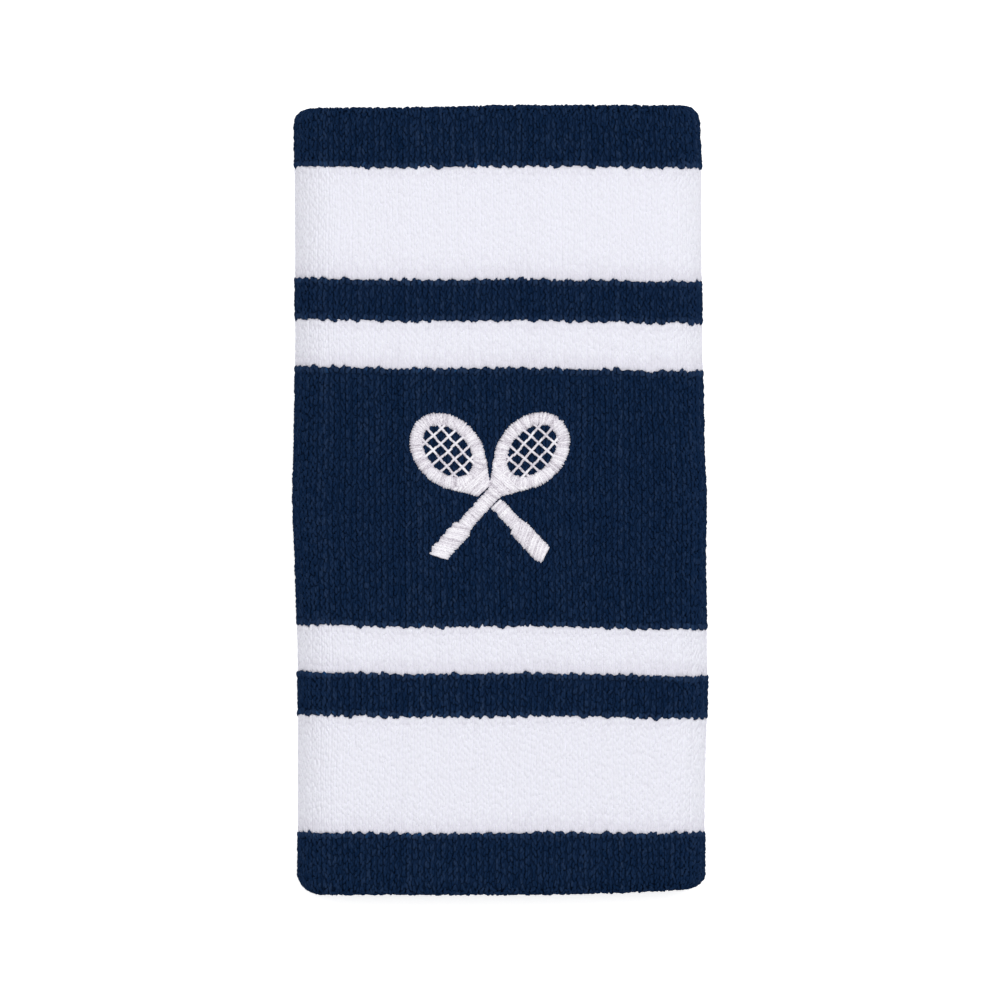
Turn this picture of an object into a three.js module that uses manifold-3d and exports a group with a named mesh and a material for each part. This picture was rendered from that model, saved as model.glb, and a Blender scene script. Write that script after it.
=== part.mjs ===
// Double-length terry wristband for racket sports, lying flat.
//
// The band is one knitted tube folded in on itself at both ends, so it has an
// outer wall and an inner wall. Terry pile stands on the outside of both. The
// tube's length runs along Y, its flat width along X and its thickness along Z.
// The origin is at the middle of the underside. Units are millimetres.

import * as THREE from 'three';
import { mergeVertices } from 'three/addons/utils/BufferGeometryUtils.js';
import Module from 'manifold-3d';

const wasm = await Module();
wasm.setup();

// ---------- driving dimensions ----------

const FOLD_RADIUS = 7.5;       // outer radius of the two side folds
const FLAT_HALF = 25.5;        // half of the flat run between the side folds
const AROUND = 24;             // facets around the tube, a multiple of 4

// Stripes of the outer wall from the top end to the bottom end.
const STRIPES = [
  { name: 'hem_band_top', length: 10.0, yarn: 'navy' },
  { name: 'wide_white_band_top', length: 18.0, yarn: 'white' },
  { name: 'narrow_navy_band_top', length: 6.8, yarn: 'navy' },
  { name: 'narrow_white_band_top', length: 7.5, yarn: 'white' },
  { name: 'centre_navy_band', length: 41.7, yarn: 'navy' },
  { name: 'narrow_white_band_bottom', length: 7.4, yarn: 'white' },
  { name: 'narrow_navy_band_bottom', length: 7.0, yarn: 'navy' },
  { name: 'wide_white_band_bottom', length: 18.6, yarn: 'white' },
  { name: 'hem_band_bottom', length: 10.0, yarn: 'navy' },
];
const BAND_LENGTH = STRIPES.reduce((sum, stripe) => sum + stripe.length, 0);
const HALF_LENGTH = BAND_LENGTH / 2;
const WHITE_RECESS = 0.3;      // the white pile is a little shorter than the navy
const SHOULDER = 0.5;          // rounding of a stripe's pile at its edges
const STRIPE_GAP = 0.15;       // half of the gap between neighbouring stripes

// Layers of the double wall, as depths below the outer surface: [outer, inner].
const OUTER_PILE = [0.0, 1.5];
const OUTER_GROUND = [1.62, 2.02];
const ELASTIC = [2.12, 2.47];
const BACKING = [2.57, 2.75];
const BOBBIN = [2.83, 2.95];
const INNER_GROUND = [3.1, 3.5];
const INNER_PILE = [3.62, 4.9];

const WALL = INNER_PILE[1];    // thickness of the whole double wall
const HEM_STEPS = 6;           // facets of the roll at each end
const HEM_INSIDE = 9.0;        // how far the hem's pile reaches into the tube

const ELASTIC_TURNS = 8;
const ELASTIC_HALF_SPAN = 56;  // the spiral stays this far from the middle

const SEAM_WEB = 0.35;         // half width of the thread between the raw ends
const SEAM_COVER = 1.3;        // half width of the thread that covers both raw ends
const RAW_END = 0.5;           // distance of each raw end from the seam's middle
const SEAM_DEPTH = [3.1, 3.62, 4.1];
const LINING_START = 1.5;      // the lining pile starts this far from the seam

// Embroidered emblem: two crossed rackets.
const EMBLEM_CENTRE = [-1.5, 0.4];
const RACKET_TILT = THREE.MathUtils.degToRad(42);
const HEAD_CENTRE = 10.0;      // from the crossing to the middle of the head
const HEAD_HALF_LENGTH = 6.8;
const HEAD_HALF_WIDTH = 5.2;
const RIM_WIDTH = 1.9;
const SHAFT_WIDTH = 2.1;
const GRIP_WIDTH = 3.0;
const GRIP_LENGTH = 7.0;
const GRIP_END = 13.0;         // from the crossing to the butt of the grip
const THREAD_PROUD = 0.15;     // the satin stitches stand this far above the pile
const THREAD_DEPTH = 0.7;      // and press the pile down this far
const FIT_GAP = 0.3;           // clearance around stitched pieces
const STRING_WIDTH = 0.45;
const STRING_PITCH = 1.7;
const STRING_DROP = 0.25;      // the string stitches lie lower than the rim
const BACKING_SIZE = [31, 29];
const BACKING_CORNER = 3;

const COLOURS = {
  navy: { color: '#10213b', roughness: 0.95 },
  white: { color: '#ecebf5', roughness: 0.95 },
  ground: { color: '#1a2a45', roughness: 0.9 },
  elastic: { color: '#e8e6df', roughness: 0.6 },
  thread: { color: '#f4f2f8', roughness: 0.45 },
  backing: { color: '#e9e9e6', roughness: 0.9 },
};

const band = new THREE.Group();

function material(yarn) {
  return new THREE.MeshStandardMaterial({ ...COLOURS[yarn], metalness: 0 });
}

function add(name, geometry, yarn) {
  const mesh = new THREE.Mesh(geometry, material(yarn));
  mesh.name = name;
  band.add(mesh);
}

// ---------- the flattened tube ----------

const HALF_STEP = Math.PI / AROUND;
// A facet lies flat on top and below, a little inside the round radius.
const FLATTEN = Math.cos(HALF_STEP);
const AXIS_HEIGHT = FOLD_RADIUS * FLATTEN;

// Height of the upper wall's flat run at a given depth below its surface.
function upperHeight(depth) {
  return AXIS_HEIGHT + (FOLD_RADIUS - depth) * FLATTEN;
}

// Pulls a round ring apart along X, so that it becomes a flat tube's section.
function flatten(geometry) {
  const position = geometry.getAttribute('position');
  for (let i = 0; i < position.count; i += 1) {
    const x = position.getX(i);
    position.setX(i, x + Math.sign(x) * FLAT_HALF);
    position.setZ(i, position.getZ(i) + AXIS_HEIGHT);
  }
  return geometry;
}

// A ring around the tube. The profile is a closed outline of [depth, y] points.
function tubeRing(outline) {
  const closed = [...outline, outline[0]];
  const profile = closed.map(([depth, y]) => new THREE.Vector2(FOLD_RADIUS - depth, y));
  return flatten(new THREE.LatheGeometry(profile, AROUND, HALF_STEP));
}

// Points of a half circle that turns from depth `outer` to depth `inner`
// around the middle of the wall, at the end of the tube on the given side.
function hemTurn(outer, inner, side) {
  const middle = WALL / 2;
  const points = [];
  for (let i = 0; i <= HEM_STEPS; i += 1) {
    const angle = (Math.PI * i) / HEM_STEPS;
    const bulge = Math.sin(angle);
    const towardsOuter = (1 + Math.cos(angle)) / 2;
    const radius = (middle - outer) * towardsOuter + (inner - middle) * (1 - towardsOuter);
    const depth = middle - Math.cos(angle) * radius;
    points.push([depth, side * (HALF_LENGTH - middle + bulge * radius)]);
  }
  return points;
}

// ---------- pile stripes of the outer wall ----------

function stripeRing(top, bottom, surface) {
  const base = OUTER_PILE[1];
  return tubeRing([
    [base, bottom],
    [surface + SHOULDER, bottom],
    [surface, bottom + SHOULDER],
    [surface, top - SHOULDER],
    [surface + SHOULDER, top],
    [base, top],
  ]);
}

// The hem's pile starts on the outer wall, rolls over the end of the tube and
// runs a little way back along the inner wall.
function hemRing(edge, side) {
  const inside = side * (HALF_LENGTH - HEM_INSIDE);
  const outline = [
    [OUTER_PILE[1], edge],
    [OUTER_PILE[0] + SHOULDER, edge],
    [OUTER_PILE[0], edge + side * SHOULDER],
    ...hemTurn(OUTER_PILE[0], INNER_PILE[1], side),
    [INNER_PILE[1], inside + side * SHOULDER],
    [INNER_PILE[1] - SHOULDER, inside],
    [INNER_PILE[0], inside],
    ...hemTurn(OUTER_PILE[1], INNER_PILE[0], side).reverse(),
  ];
  return tubeRing(side > 0 ? outline : outline.reverse());
}

function solidOf(geometry) {
  const bare = geometry.clone();
  bare.deleteAttribute('normal');
  bare.deleteAttribute('uv');
  const merged = mergeVertices(bare, 1e-4);
  return new wasm.Manifold(new wasm.Mesh({
    numProp: 3,
    vertProperties: Float32Array.from(merged.getAttribute('position').array),
    triVerts: Uint32Array.from(merged.getIndex().array),
  }));
}

function geometryOf(solid) {
  const mesh = solid.getMesh();
  const geometry = new THREE.BufferGeometry();
  geometry.setAttribute('position', new THREE.BufferAttribute(mesh.vertProperties, mesh.numProp));
  geometry.setIndex(new THREE.BufferAttribute(mesh.triVerts, 1));
  geometry.computeVertexNormals();
  return geometry;
}

// ---------- the emblem's outlines ----------

// Half ellipse around a racket's head, from its throat side over the tip.
function headPoint(halfWidth, halfLength, angle) {
  return new THREE.Vector2(
    halfWidth * Math.sin(angle),
    HEAD_CENTRE - halfLength * Math.cos(angle),
  );
}

// One racket's outer outline along +Y from its grip to its head, `grow` larger.
function racketOutline(grow) {
  const shaft = SHAFT_WIDTH / 2 + grow;
  const grip = GRIP_WIDTH / 2 + grow;
  const gripTop = GRIP_LENGTH - GRIP_END + grow;
  const corner = 0.8;
  const halfWidth = HEAD_HALF_WIDTH + grow;
  const halfLength = HEAD_HALF_LENGTH + grow;
  const throatAngle = THREE.MathUtils.degToRad(50);
  const headSteps = 18;
  const right = [
    new THREE.Vector2(grip - corner, -GRIP_END - grow),
    new THREE.Vector2(grip, -GRIP_END - grow + corner),
    new THREE.Vector2(grip, gripTop - corner),
    new THREE.Vector2(shaft, gripTop),
    new THREE.Vector2(shaft, HEAD_CENTRE - HEAD_HALF_LENGTH - 2.2),
  ];
  for (let i = 0; i < headSteps; i += 1) {
    const angle = throatAngle + ((Math.PI - throatAngle) * i) / headSteps;
    right.push(headPoint(halfWidth, halfLength, angle));
  }
  const left = right.map((point) => new THREE.Vector2(-point.x, point.y)).reverse();
  return [...right, headPoint(halfWidth, halfLength, Math.PI), ...left];
}

function ellipseHole(halfWidth, halfLength) {
  const path = new THREE.Path();
  path.absellipse(0, HEAD_CENTRE, halfWidth, halfLength, 0, 2 * Math.PI, true, 0);
  return path;
}

// Places an outline drawn along +Y at the emblem, leaning to one side, and
// gives it a thickness between two heights.
function stitchedPlate(shape, lean, low, high) {
  const plate = new THREE.ExtrudeGeometry(shape, {
    depth: high - low,
    bevelEnabled: false,
    curveSegments: 9,
  });
  plate.rotateZ(-lean);
  plate.translate(EMBLEM_CENTRE[0], EMBLEM_CENTRE[1], low);
  return plate;
}

function racketShape(grow, withHole) {
  const shape = new THREE.Shape(racketOutline(grow));
  if (withHole) {
    const rim = RIM_WIDTH + grow;
    shape.holes.push(ellipseHole(HEAD_HALF_WIDTH + grow - rim, HEAD_HALF_LENGTH + grow - rim));
  }
  return shape;
}

function racketSolid(lean, grow, withHole, low, high) {
  return solidOf(stitchedPlate(racketShape(grow, withHole), lean, low, high));
}

// The crossing run stitches inside a racket's head.
function stringBed(lean, low, high) {
  const clear = RIM_WIDTH + FIT_GAP;
  const bed = new THREE.Shape();
  bed.absellipse(0, HEAD_CENTRE, HEAD_HALF_WIDTH - clear, HEAD_HALF_LENGTH - clear, 0,
    2 * Math.PI, false, 0);
  const limit = solidOf(stitchedPlate(bed, lean, low, high));
  const reach = 2 * HEAD_HALF_LENGTH;
  let lattice = null;
  const addBar = (width, length, x, y) => {
    const bar = new THREE.BoxGeometry(width, length, 2 * (high - low));
    bar.translate(x, y, (high - low) / 2);
    bar.rotateZ(-lean);
    bar.translate(EMBLEM_CENTRE[0], EMBLEM_CENTRE[1], low);
    const solid = solidOf(bar);
    lattice = lattice ? lattice.add(solid) : solid;
  };
  for (let i = -1; i <= 1; i += 1) {
    addBar(STRING_WIDTH, reach, i * STRING_PITCH, HEAD_CENTRE);
  }
  for (let i = -2; i <= 2; i += 1) {
    addBar(reach, STRING_WIDTH, 0, HEAD_CENTRE + i * STRING_PITCH);
  }
  return lattice.intersect(limit);
}

// ---------- build: ground knit, elastic, lining and seam ----------

function groundTube() {
  const outline = [
    [INNER_GROUND[0], RAW_END],
    ...hemTurn(OUTER_GROUND[1], INNER_GROUND[0], 1).reverse(),
    ...hemTurn(OUTER_GROUND[1], INNER_GROUND[0], -1),
    [INNER_GROUND[0], -RAW_END],
    [INNER_GROUND[1], -RAW_END],
    ...hemTurn(OUTER_GROUND[0], INNER_GROUND[1], -1).reverse(),
    ...hemTurn(OUTER_GROUND[0], INNER_GROUND[1], 1),
    [INNER_GROUND[1], RAW_END],
  ];
  return tubeRing(outline);
}

function liningRing(side) {
  const start = side * LINING_START;
  const end = side * (HALF_LENGTH - HEM_INSIDE - 2 * STRIPE_GAP);
  const low = Math.min(start, end);
  const high = Math.max(start, end);
  return tubeRing([
    [INNER_PILE[1], low],
    [INNER_PILE[0], low],
    [INNER_PILE[0], high],
    [INNER_PILE[1], high],
  ]);
}

// The overlock thread passes between the raw ends and covers both of them.
function seamRing() {
  const [between, cover, surface] = SEAM_DEPTH;
  return tubeRing([
    [surface, -SEAM_COVER],
    [cover, -SEAM_COVER],
    [cover, -SEAM_WEB],
    [between, -SEAM_WEB],
    [between, SEAM_WEB],
    [cover, SEAM_WEB],
    [cover, SEAM_COVER],
    [surface, SEAM_COVER],
  ]);
}

// The elastic yarn's way around the tube: the same facets as every ring, with a
// steady climb along Y.
class ElasticPath extends THREE.Curve {
  getPoint(t, target = new THREE.Vector3()) {
    const steps = t * ELASTIC_TURNS * AROUND;
    const whole = Math.floor(steps);
    const part = steps - whole;
    const from = this.corner(whole);
    const to = this.corner(whole + 1);
    return target.copy(from).lerp(to, part);
  }

  corner(index) {
    const radius = FOLD_RADIUS - (ELASTIC[0] + ELASTIC[1]) / 2;
    const angle = HALF_STEP + index * 2 * HALF_STEP;
    const x = Math.sin(angle) * radius;
    const climb = (2 * ELASTIC_HALF_SPAN * index) / (ELASTIC_TURNS * AROUND);
    return new THREE.Vector3(
      x + Math.sign(x) * FLAT_HALF,
      climb - ELASTIC_HALF_SPAN,
      AXIS_HEIGHT + Math.cos(angle) * radius,
    );
  }

  getPointAt(t, target) {
    return this.getPoint(t, target);
  }

  // The direction at a corner is halfway between its two neighbouring runs.
  getTangentAt(t, target = new THREE.Vector3()) {
    const index = Math.round(t * ELASTIC_TURNS * AROUND);
    const back = this.corner(index).sub(this.corner(index - 1)).normalize();
    const ahead = this.corner(index + 1).sub(this.corner(index)).normalize();
    return target.copy(back).add(ahead).normalize();
  }
}

function elasticYarn() {
  const half = (ELASTIC[1] - ELASTIC[0]) / 2;
  const section = new THREE.Shape([
    new THREE.Vector2(half, 0),
    new THREE.Vector2(0, half),
    new THREE.Vector2(-half, 0),
    new THREE.Vector2(0, -half),
  ]);
  return new THREE.ExtrudeGeometry(section, {
    steps: ELASTIC_TURNS * AROUND,
    extrudePath: new ElasticPath(),
  });
}

function backingPlate() {
  const [halfX, halfY] = BACKING_SIZE.map((size) => size / 2);
  const shape = new THREE.Shape();
  shape.moveTo(-halfX + BACKING_CORNER, -halfY);
  shape.lineTo(halfX - BACKING_CORNER, -halfY);
  shape.absarc(halfX - BACKING_CORNER, -halfY + BACKING_CORNER, BACKING_CORNER, -Math.PI / 2, 0);
  shape.absarc(halfX - BACKING_CORNER, halfY - BACKING_CORNER, BACKING_CORNER, 0, Math.PI / 2);
  shape.absarc(-halfX + BACKING_CORNER, halfY - BACKING_CORNER, BACKING_CORNER, Math.PI / 2, Math.PI);
  shape.absarc(-halfX + BACKING_CORNER, -halfY + BACKING_CORNER, BACKING_CORNER, Math.PI,
    (3 * Math.PI) / 2);
  const low = upperHeight(BACKING[1]);
  const plate = new THREE.ExtrudeGeometry(shape, {
    depth: upperHeight(BACKING[0]) - low,
    bevelEnabled: false,
    curveSegments: 4,
  });
  plate.translate(EMBLEM_CENTRE[0], EMBLEM_CENTRE[1], low);
  return plate;
}

add('ground_knit_tube', groundTube(), 'ground');
add('elastic_yarn', elasticYarn(), 'elastic');
add('closing_seam_thread', seamRing(), 'ground');
add('lining_pile_upper', liningRing(1), 'navy');
add('lining_pile_lower', liningRing(-1), 'navy');

// ---------- build: embroidery ----------

const SURFACE = upperHeight(OUTER_PILE[0]);
const THREAD_LOW = SURFACE - THREAD_DEPTH;
const THREAD_HIGH = SURFACE + THREAD_PROUD;

const overRacket = racketSolid(RACKET_TILT, 0, true, THREAD_LOW, THREAD_HIGH);
const overCleared = racketSolid(RACKET_TILT, FIT_GAP, false, THREAD_LOW - 1, THREAD_HIGH + 1);
const underPieces = racketSolid(-RACKET_TILT, 0, true, THREAD_LOW, THREAD_HIGH)
  .subtract(overCleared)
  .decompose()
  .sort((a, b) => b.boundingBox().max[1] - a.boundingBox().max[1]);

add('emblem_racket_over', geometryOf(overRacket), 'thread');
add('emblem_racket_under_head', geometryOf(underPieces[0]), 'thread');
add('emblem_racket_under_grip', geometryOf(underPieces[1]), 'thread');

const STRING_HIGH = THREAD_HIGH - STRING_DROP;
add('emblem_strings_over', geometryOf(stringBed(RACKET_TILT, THREAD_LOW, STRING_HIGH)), 'thread');
add('emblem_strings_under', geometryOf(stringBed(-RACKET_TILT, THREAD_LOW, STRING_HIGH)), 'thread');

add('embroidery_backing', backingPlate(), 'backing');
const bobbinLow = upperHeight(BOBBIN[1]);
const bobbinHigh = upperHeight(BOBBIN[0]);
const bobbin = racketSolid(RACKET_TILT, 0, true, bobbinLow, bobbinHigh)
  .add(racketSolid(-RACKET_TILT, 0, true, bobbinLow, bobbinHigh));
add('bobbin_thread', geometryOf(bobbin), 'thread');

// The stitches press the centre band's pile down, so it has a pocket for them.
const pocketLow = THREAD_LOW - FIT_GAP;
const pocket = racketSolid(RACKET_TILT, FIT_GAP, false, pocketLow, THREAD_HIGH)
  .add(racketSolid(-RACKET_TILT, FIT_GAP, false, pocketLow, THREAD_HIGH));

// ---------- build: pile stripes ----------

let edge = HALF_LENGTH;
STRIPES.forEach((stripe, index) => {
  const top = edge - STRIPE_GAP;
  const bottom = edge - stripe.length + STRIPE_GAP;
  const surface = OUTER_PILE[0] + (stripe.yarn === 'white' ? WHITE_RECESS : 0);
  let geometry;
  if (index === 0) {
    geometry = hemRing(bottom, 1);
  } else if (index === STRIPES.length - 1) {
    geometry = hemRing(top, -1);
  } else {
    geometry = stripeRing(top, bottom, surface);
  }
  if (stripe.name === 'centre_navy_band') {
    geometry = geometryOf(solidOf(geometry).subtract(pocket));
  }
  add(stripe.name, geometry, stripe.yarn);
  edge -= stripe.length;
});

export default band;
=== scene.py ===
"""Looks of the terry wristband: knitted pile loops, satin-stitched emblem, camera and light.

Every length is in metres. The band lies flat: its tube runs along Y, its width along X.
"""

from math import ceil, pi, radians, sqrt

import bpy
import numpy as np
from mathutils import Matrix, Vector
from mathutils.bvhtree import BVHTree


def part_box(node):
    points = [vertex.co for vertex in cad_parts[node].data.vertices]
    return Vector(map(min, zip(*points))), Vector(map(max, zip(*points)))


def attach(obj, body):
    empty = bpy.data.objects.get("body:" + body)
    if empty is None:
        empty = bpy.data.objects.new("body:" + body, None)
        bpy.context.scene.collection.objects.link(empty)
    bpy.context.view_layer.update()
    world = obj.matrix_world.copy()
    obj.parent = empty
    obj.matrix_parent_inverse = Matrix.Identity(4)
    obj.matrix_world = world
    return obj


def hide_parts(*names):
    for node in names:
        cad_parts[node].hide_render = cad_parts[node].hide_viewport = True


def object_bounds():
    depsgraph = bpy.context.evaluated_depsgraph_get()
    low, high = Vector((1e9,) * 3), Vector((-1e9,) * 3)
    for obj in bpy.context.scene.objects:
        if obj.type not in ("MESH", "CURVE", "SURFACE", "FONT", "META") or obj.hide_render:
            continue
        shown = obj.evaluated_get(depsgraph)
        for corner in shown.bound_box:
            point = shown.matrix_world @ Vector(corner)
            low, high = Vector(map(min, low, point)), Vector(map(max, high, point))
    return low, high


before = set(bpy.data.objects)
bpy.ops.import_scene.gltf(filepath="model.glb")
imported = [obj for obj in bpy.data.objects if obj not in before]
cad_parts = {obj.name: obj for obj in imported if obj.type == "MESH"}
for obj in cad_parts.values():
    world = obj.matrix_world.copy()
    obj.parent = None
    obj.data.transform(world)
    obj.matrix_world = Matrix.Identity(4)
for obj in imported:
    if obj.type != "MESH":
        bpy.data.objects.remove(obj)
cad_low, cad_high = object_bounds()
MM = 0.001

# ---------- sizes taken from the frame ----------

centre_low, centre_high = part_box("centre_navy_band")
hem_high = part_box("hem_band_top")[1]
lining_low, lining_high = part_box("lining_pile_upper")
THICKNESS = centre_high.z - centre_low.z
HALF_WIDTH = (centre_high.x - centre_low.x) / 2
HALF_LENGTH = hem_high.y
RADIUS = THICKNESS / 2                           # of the side folds' outer surface
FLAT_HALF = HALF_WIDTH - RADIUS
PERIMETER = 4 * FLAT_HALF + 2 * pi * RADIUS      # of the outer surface
SEAM_CLEAR = lining_low.y                        # the lining pile starts this far from the seam
LINING_END = lining_high.y                       # and meets the hem's pile here
STRIPE_GAP = 0.15 * MM                           # each CAD stripe ends this far from the next one

# The double wall. Depths are below the outer surface.
WALL = 4.9 * MM
MIDDLE = WALL / 2
PILE_FOOT = 1.30 * MM                            # of the pile on the outer wall
STRAIGHT = HALF_LENGTH - MIDDLE                  # the wall is straight up to here, then rolls over
ROLL_RADIUS = MIDDLE - 0.25 * MM                 # courses are spaced evenly at this radius
ROLL = pi * ROLL_RADIUS
INNER_START = STRAIGHT + ROLL                    # where the inner wall starts, along the wall

STRIPES = [
    ("hem_band_top", "navy"),
    ("wide_white_band_top", "white"),
    ("narrow_navy_band_top", "navy"),
    ("narrow_white_band_top", "white"),
    ("centre_navy_band", "navy"),
    ("narrow_white_band_bottom", "white"),
    ("narrow_navy_band_bottom", "navy"),
    ("wide_white_band_bottom", "white"),
    ("hem_band_bottom", "navy"),
]

# ---------- the knit ----------

WALES = round(PERIMETER / (1.88 * MM))           # columns of stitches around the band
WALE = PERIMETER / WALES
COURSE_PITCH = 1.06 * MM                         # from loop to loop along a strand
RIB_LEAN = 0.04 * MM                             # the two ribs of a wale lean together
# And so do the two strands of loops of a rib.
STRAND_LEAN = {"navy": 0.085 * MM, "white": 0.03 * MM}
WALE_SHIFT = 0.25 * MM                           # how far the wales are out of step
LOOP_SHIFT = 0.19 * MM                           # and the loops of a strand
STAGGER = 0.25                                   # of a course, from a rib's strands to the middle
END_STAGGER = 0.3                                # how much of it a stripe's first and last rows get
SCATTER = 0.03 * MM                              # how far loops lie beside their strand
ROLL_SCATTER = 0.13 * MM                         # and on the roll at the band's ends
ROLL_LEAD = 0.5 * MM                             # which starts this far before it
CURL_FROM = 0.2                                  # loops curl from here on, as a share of the roll

YARN_RADIUS = {"navy": 0.25 * MM, "white": 0.32 * MM}
PLY_SQUASH = 0.12                                # how far from round two twisted plies are
YARN_SPREAD = (0.9, 1.1)                         # how thick the loops' yarn is
FOOT_THICKNESS = 0.82                            # of the yarn at a loop's feet
LOOP_HALF_LENGTH = {"navy": 0.39 * MM, "white": 0.47 * MM}
LENGTH_SPREAD = (0.8, 1.25)
LOOP_HEIGHT = {"navy": 1.24 * MM, "white": 1.05 * MM}
HEIGHT_SPREAD = {"navy": 0.075, "white": 0.012}
LOOP_FOOT = 0.40 * MM                            # where a loop's ends are, above the pile's foot
LOOP_BULGE = 0.45                                # how much fuller than a plain arch its sides are
LOOP_FLATNESS = 0.6                              # below 1 a loop's top is flatter than an arch
LOOP_CURL = 0.05 * MM                            # how far its two halves swing to either side
LOOP_LEAN = radians(3)                           # of the loops of a rib's two strands, apart
# How unevenly the loops are turned, and how far they lean along the strand.
LOOP_TURN = {"navy": radians(8), "white": radians(3.5)}
LOOP_SWAY = {"navy": 0.12 * MM, "white": 0.04 * MM}
SIDE_SWAY = 0.4                                  # how much of that they lean across it

# The closed knit between the loops, and how much lower it is between ribs.
BASE_TOP = {"navy": 0.68 * MM, "white": 0.91 * MM}
BASE_GROOVE = {"navy": 0.20 * MM, "white": 0.04 * MM}
BASE_LOW = -0.15 * MM
BASE_COURSE = 0.6 * MM                           # from row to row of its points
BASE_COLUMNS = 8                                 # of its points, in each wale
BASE_UV = 0.06                                   # share of the bake map that the base takes
UV_GAP = 0.006                                   # between it and the loops
CELL_MARGIN = 0.08                               # around each loop in its cell of the bake map

# Where two stripes meet.
EDGE_SWING = 0.46 * MM                           # depth of the scallops
EDGE_SPREAD = (0.15, 1.6)                        # how much of it each wale gets
EDGE_MEAN = 0.45                                 # of a scallop's depth, over its width and all wales
EDGE_REACH = 0.9 * MM                            # how far from that edge the courses still bend
LOOP_REACH = 0.55 * MM                           # and how far its loops are shaped by it
STEP_HOLD = 1.9                                  # how strongly the edge keeps its loops in step
EDGE_TURN = 3                                    # how much more its loops are turned
CURL_TURN = 5                                    # and those behind the roll at the band's ends
EDGE_SHORTER = 0.35                              # round loops at an edge are shorter
EDGE_THICKER = 0.3                               # and thicker
# How far the rows of loops stay from the edge, and how round the loops are there.
LOOP_MARGIN = {"navy": 0.0, "white": 0.12 * MM}
EDGE_ROUND = {"navy": 1.0, "white": 0.3}

# Tones: the higher the lighter. Loops start between 0 and 1, and edges take them past both:
# painted light on navy, painted shade on white.
LOOP_TONES = (0.1, 0.9)
RIB_TONE_SPREAD = 0.10
# The knit between the loops is darker than the loops: painted shade in the valleys.
SHADED_BASE_TONE = {"navy": 0.35, "white": -0.4}
# Painted light: navy loops at an edge are lighter, standing in for the light they catch from the side.
PAINTED_EDGE_LIGHT = 1.4                                  # how much lighter navy is at an edge
# Painted shade: white pile is darker towards the navy below it, and a little towards the navy above:
# how much of the tone it loses at the edge, and how far that reaches.
PAINTED_SHADE_BELOW = (2.3, 1.5 * MM)
PAINTED_SHADE_ABOVE = (1.2, 1.1 * MM)

rng = np.random.default_rng(20)


def stripe_edges():
    """Where a navy stripe meets a white one, and the direction of the white one."""
    edges = []
    for (upper, yarn), (lower, _) in zip(STRIPES, STRIPES[1:]):
        y = (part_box(upper)[0].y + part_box(lower)[1].y) / 2
        edges.append((y, -1 if yarn == "navy" else 1))
    return edges


EDGES = stripe_edges()
SCALLOPS = EDGE_SWING * np.random.default_rng(3).uniform(*EDGE_SPREAD, (len(EDGES), WALES))
RIB_TONES = np.random.default_rng(9).normal(0, RIB_TONE_SPREAD, (WALES, 2))
WALE_SHIFTS = np.random.default_rng(7).normal(0, WALE_SHIFT, WALES)


def scallop(s, v, side):
    """How far the courses bend along the wall near an edge: navy bulges out in each wale."""
    y = side * v
    wale = np.floor(s / WALE).astype(int) % WALES
    bulge = np.sin(pi * s / WALE) ** 2
    shift = 0.0
    for (edge, outward), depth in zip(EDGES, SCALLOPS):
        near = np.exp(-((y - edge) / EDGE_REACH) ** 2)
        shift = shift + outward * near * (depth[wale] * bulge - EDGE_SWING * EDGE_MEAN)
    return side * shift


def near_edge(v, side):
    """1 where two stripes meet, falling to 0 within a loop's length."""
    return sum(np.exp(-((side * v - edge) / LOOP_REACH) ** 2) for edge, _ in EDGES)


def painted_edge_shade(y):
    """How much of its tone white pile loses at y: painted shade near the navy stripes."""
    total = 0.0
    for edge, outward in EDGES:
        amount, reach = PAINTED_SHADE_BELOW if outward > 0 else PAINTED_SHADE_ABOVE
        total = total + amount * np.exp(-abs(y - edge) / reach)
    return total


WANDER = 0.13 * MM                               # how far the wales stray sideways
QUICK_WANDER = 0.3                               # how much of that they also stray in short waves
SLOW_WAVE, QUICK_WAVE = 6.1 * MM, 2.3 * MM       # for a radian of each wave
SLOW_TURNS, QUICK_TURNS = 3, 5                   # of the waves, once around the band


def wander(s, v, side):
    """How far the wales stray sideways."""
    y, turn = side * v, 2 * pi * s / PERIMETER
    slow = np.sin(y / SLOW_WAVE + 2 * np.sin(SLOW_TURNS * turn))
    quick = np.sin(y / QUICK_WAVE + QUICK_TURNS * turn)
    return WANDER * (slow + QUICK_WANDER * quick)


def stray(s, v, side):
    """The ways around and along the wall where the knit of an even s and v really lies."""
    return s + wander(s, v, side), v + scallop(s, v, side)


PATCHES = 7                                      # of taller pile, once around the band
PATCH_SLANT, PATCH_LENGTH = 3.1 * MM, 5.3 * MM   # for a radian of their waves along the band
PATCH_START = 2.0                                # radians
PATCH_HEIGHT = 0.2                               # of the height's spread
FULL_HEIGHT = 1.04                               # of the tallest loops outside them


def pile_heights(s, v, yarn):
    """Heights of the loops at s and v: each its own, and slowly changing over the band."""
    slant = np.sin(PATCHES * 2 * pi * s / PERIMETER + v / PATCH_SLANT)
    patch = slant * np.sin(v / PATCH_LENGTH + PATCH_START)
    spread = HEIGHT_SPREAD[yarn]
    share = FULL_HEIGHT - spread * rng.uniform(0, 2, s.shape) + PATCH_HEIGHT * spread * patch
    return LOOP_HEIGHT[yarn] * share


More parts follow.
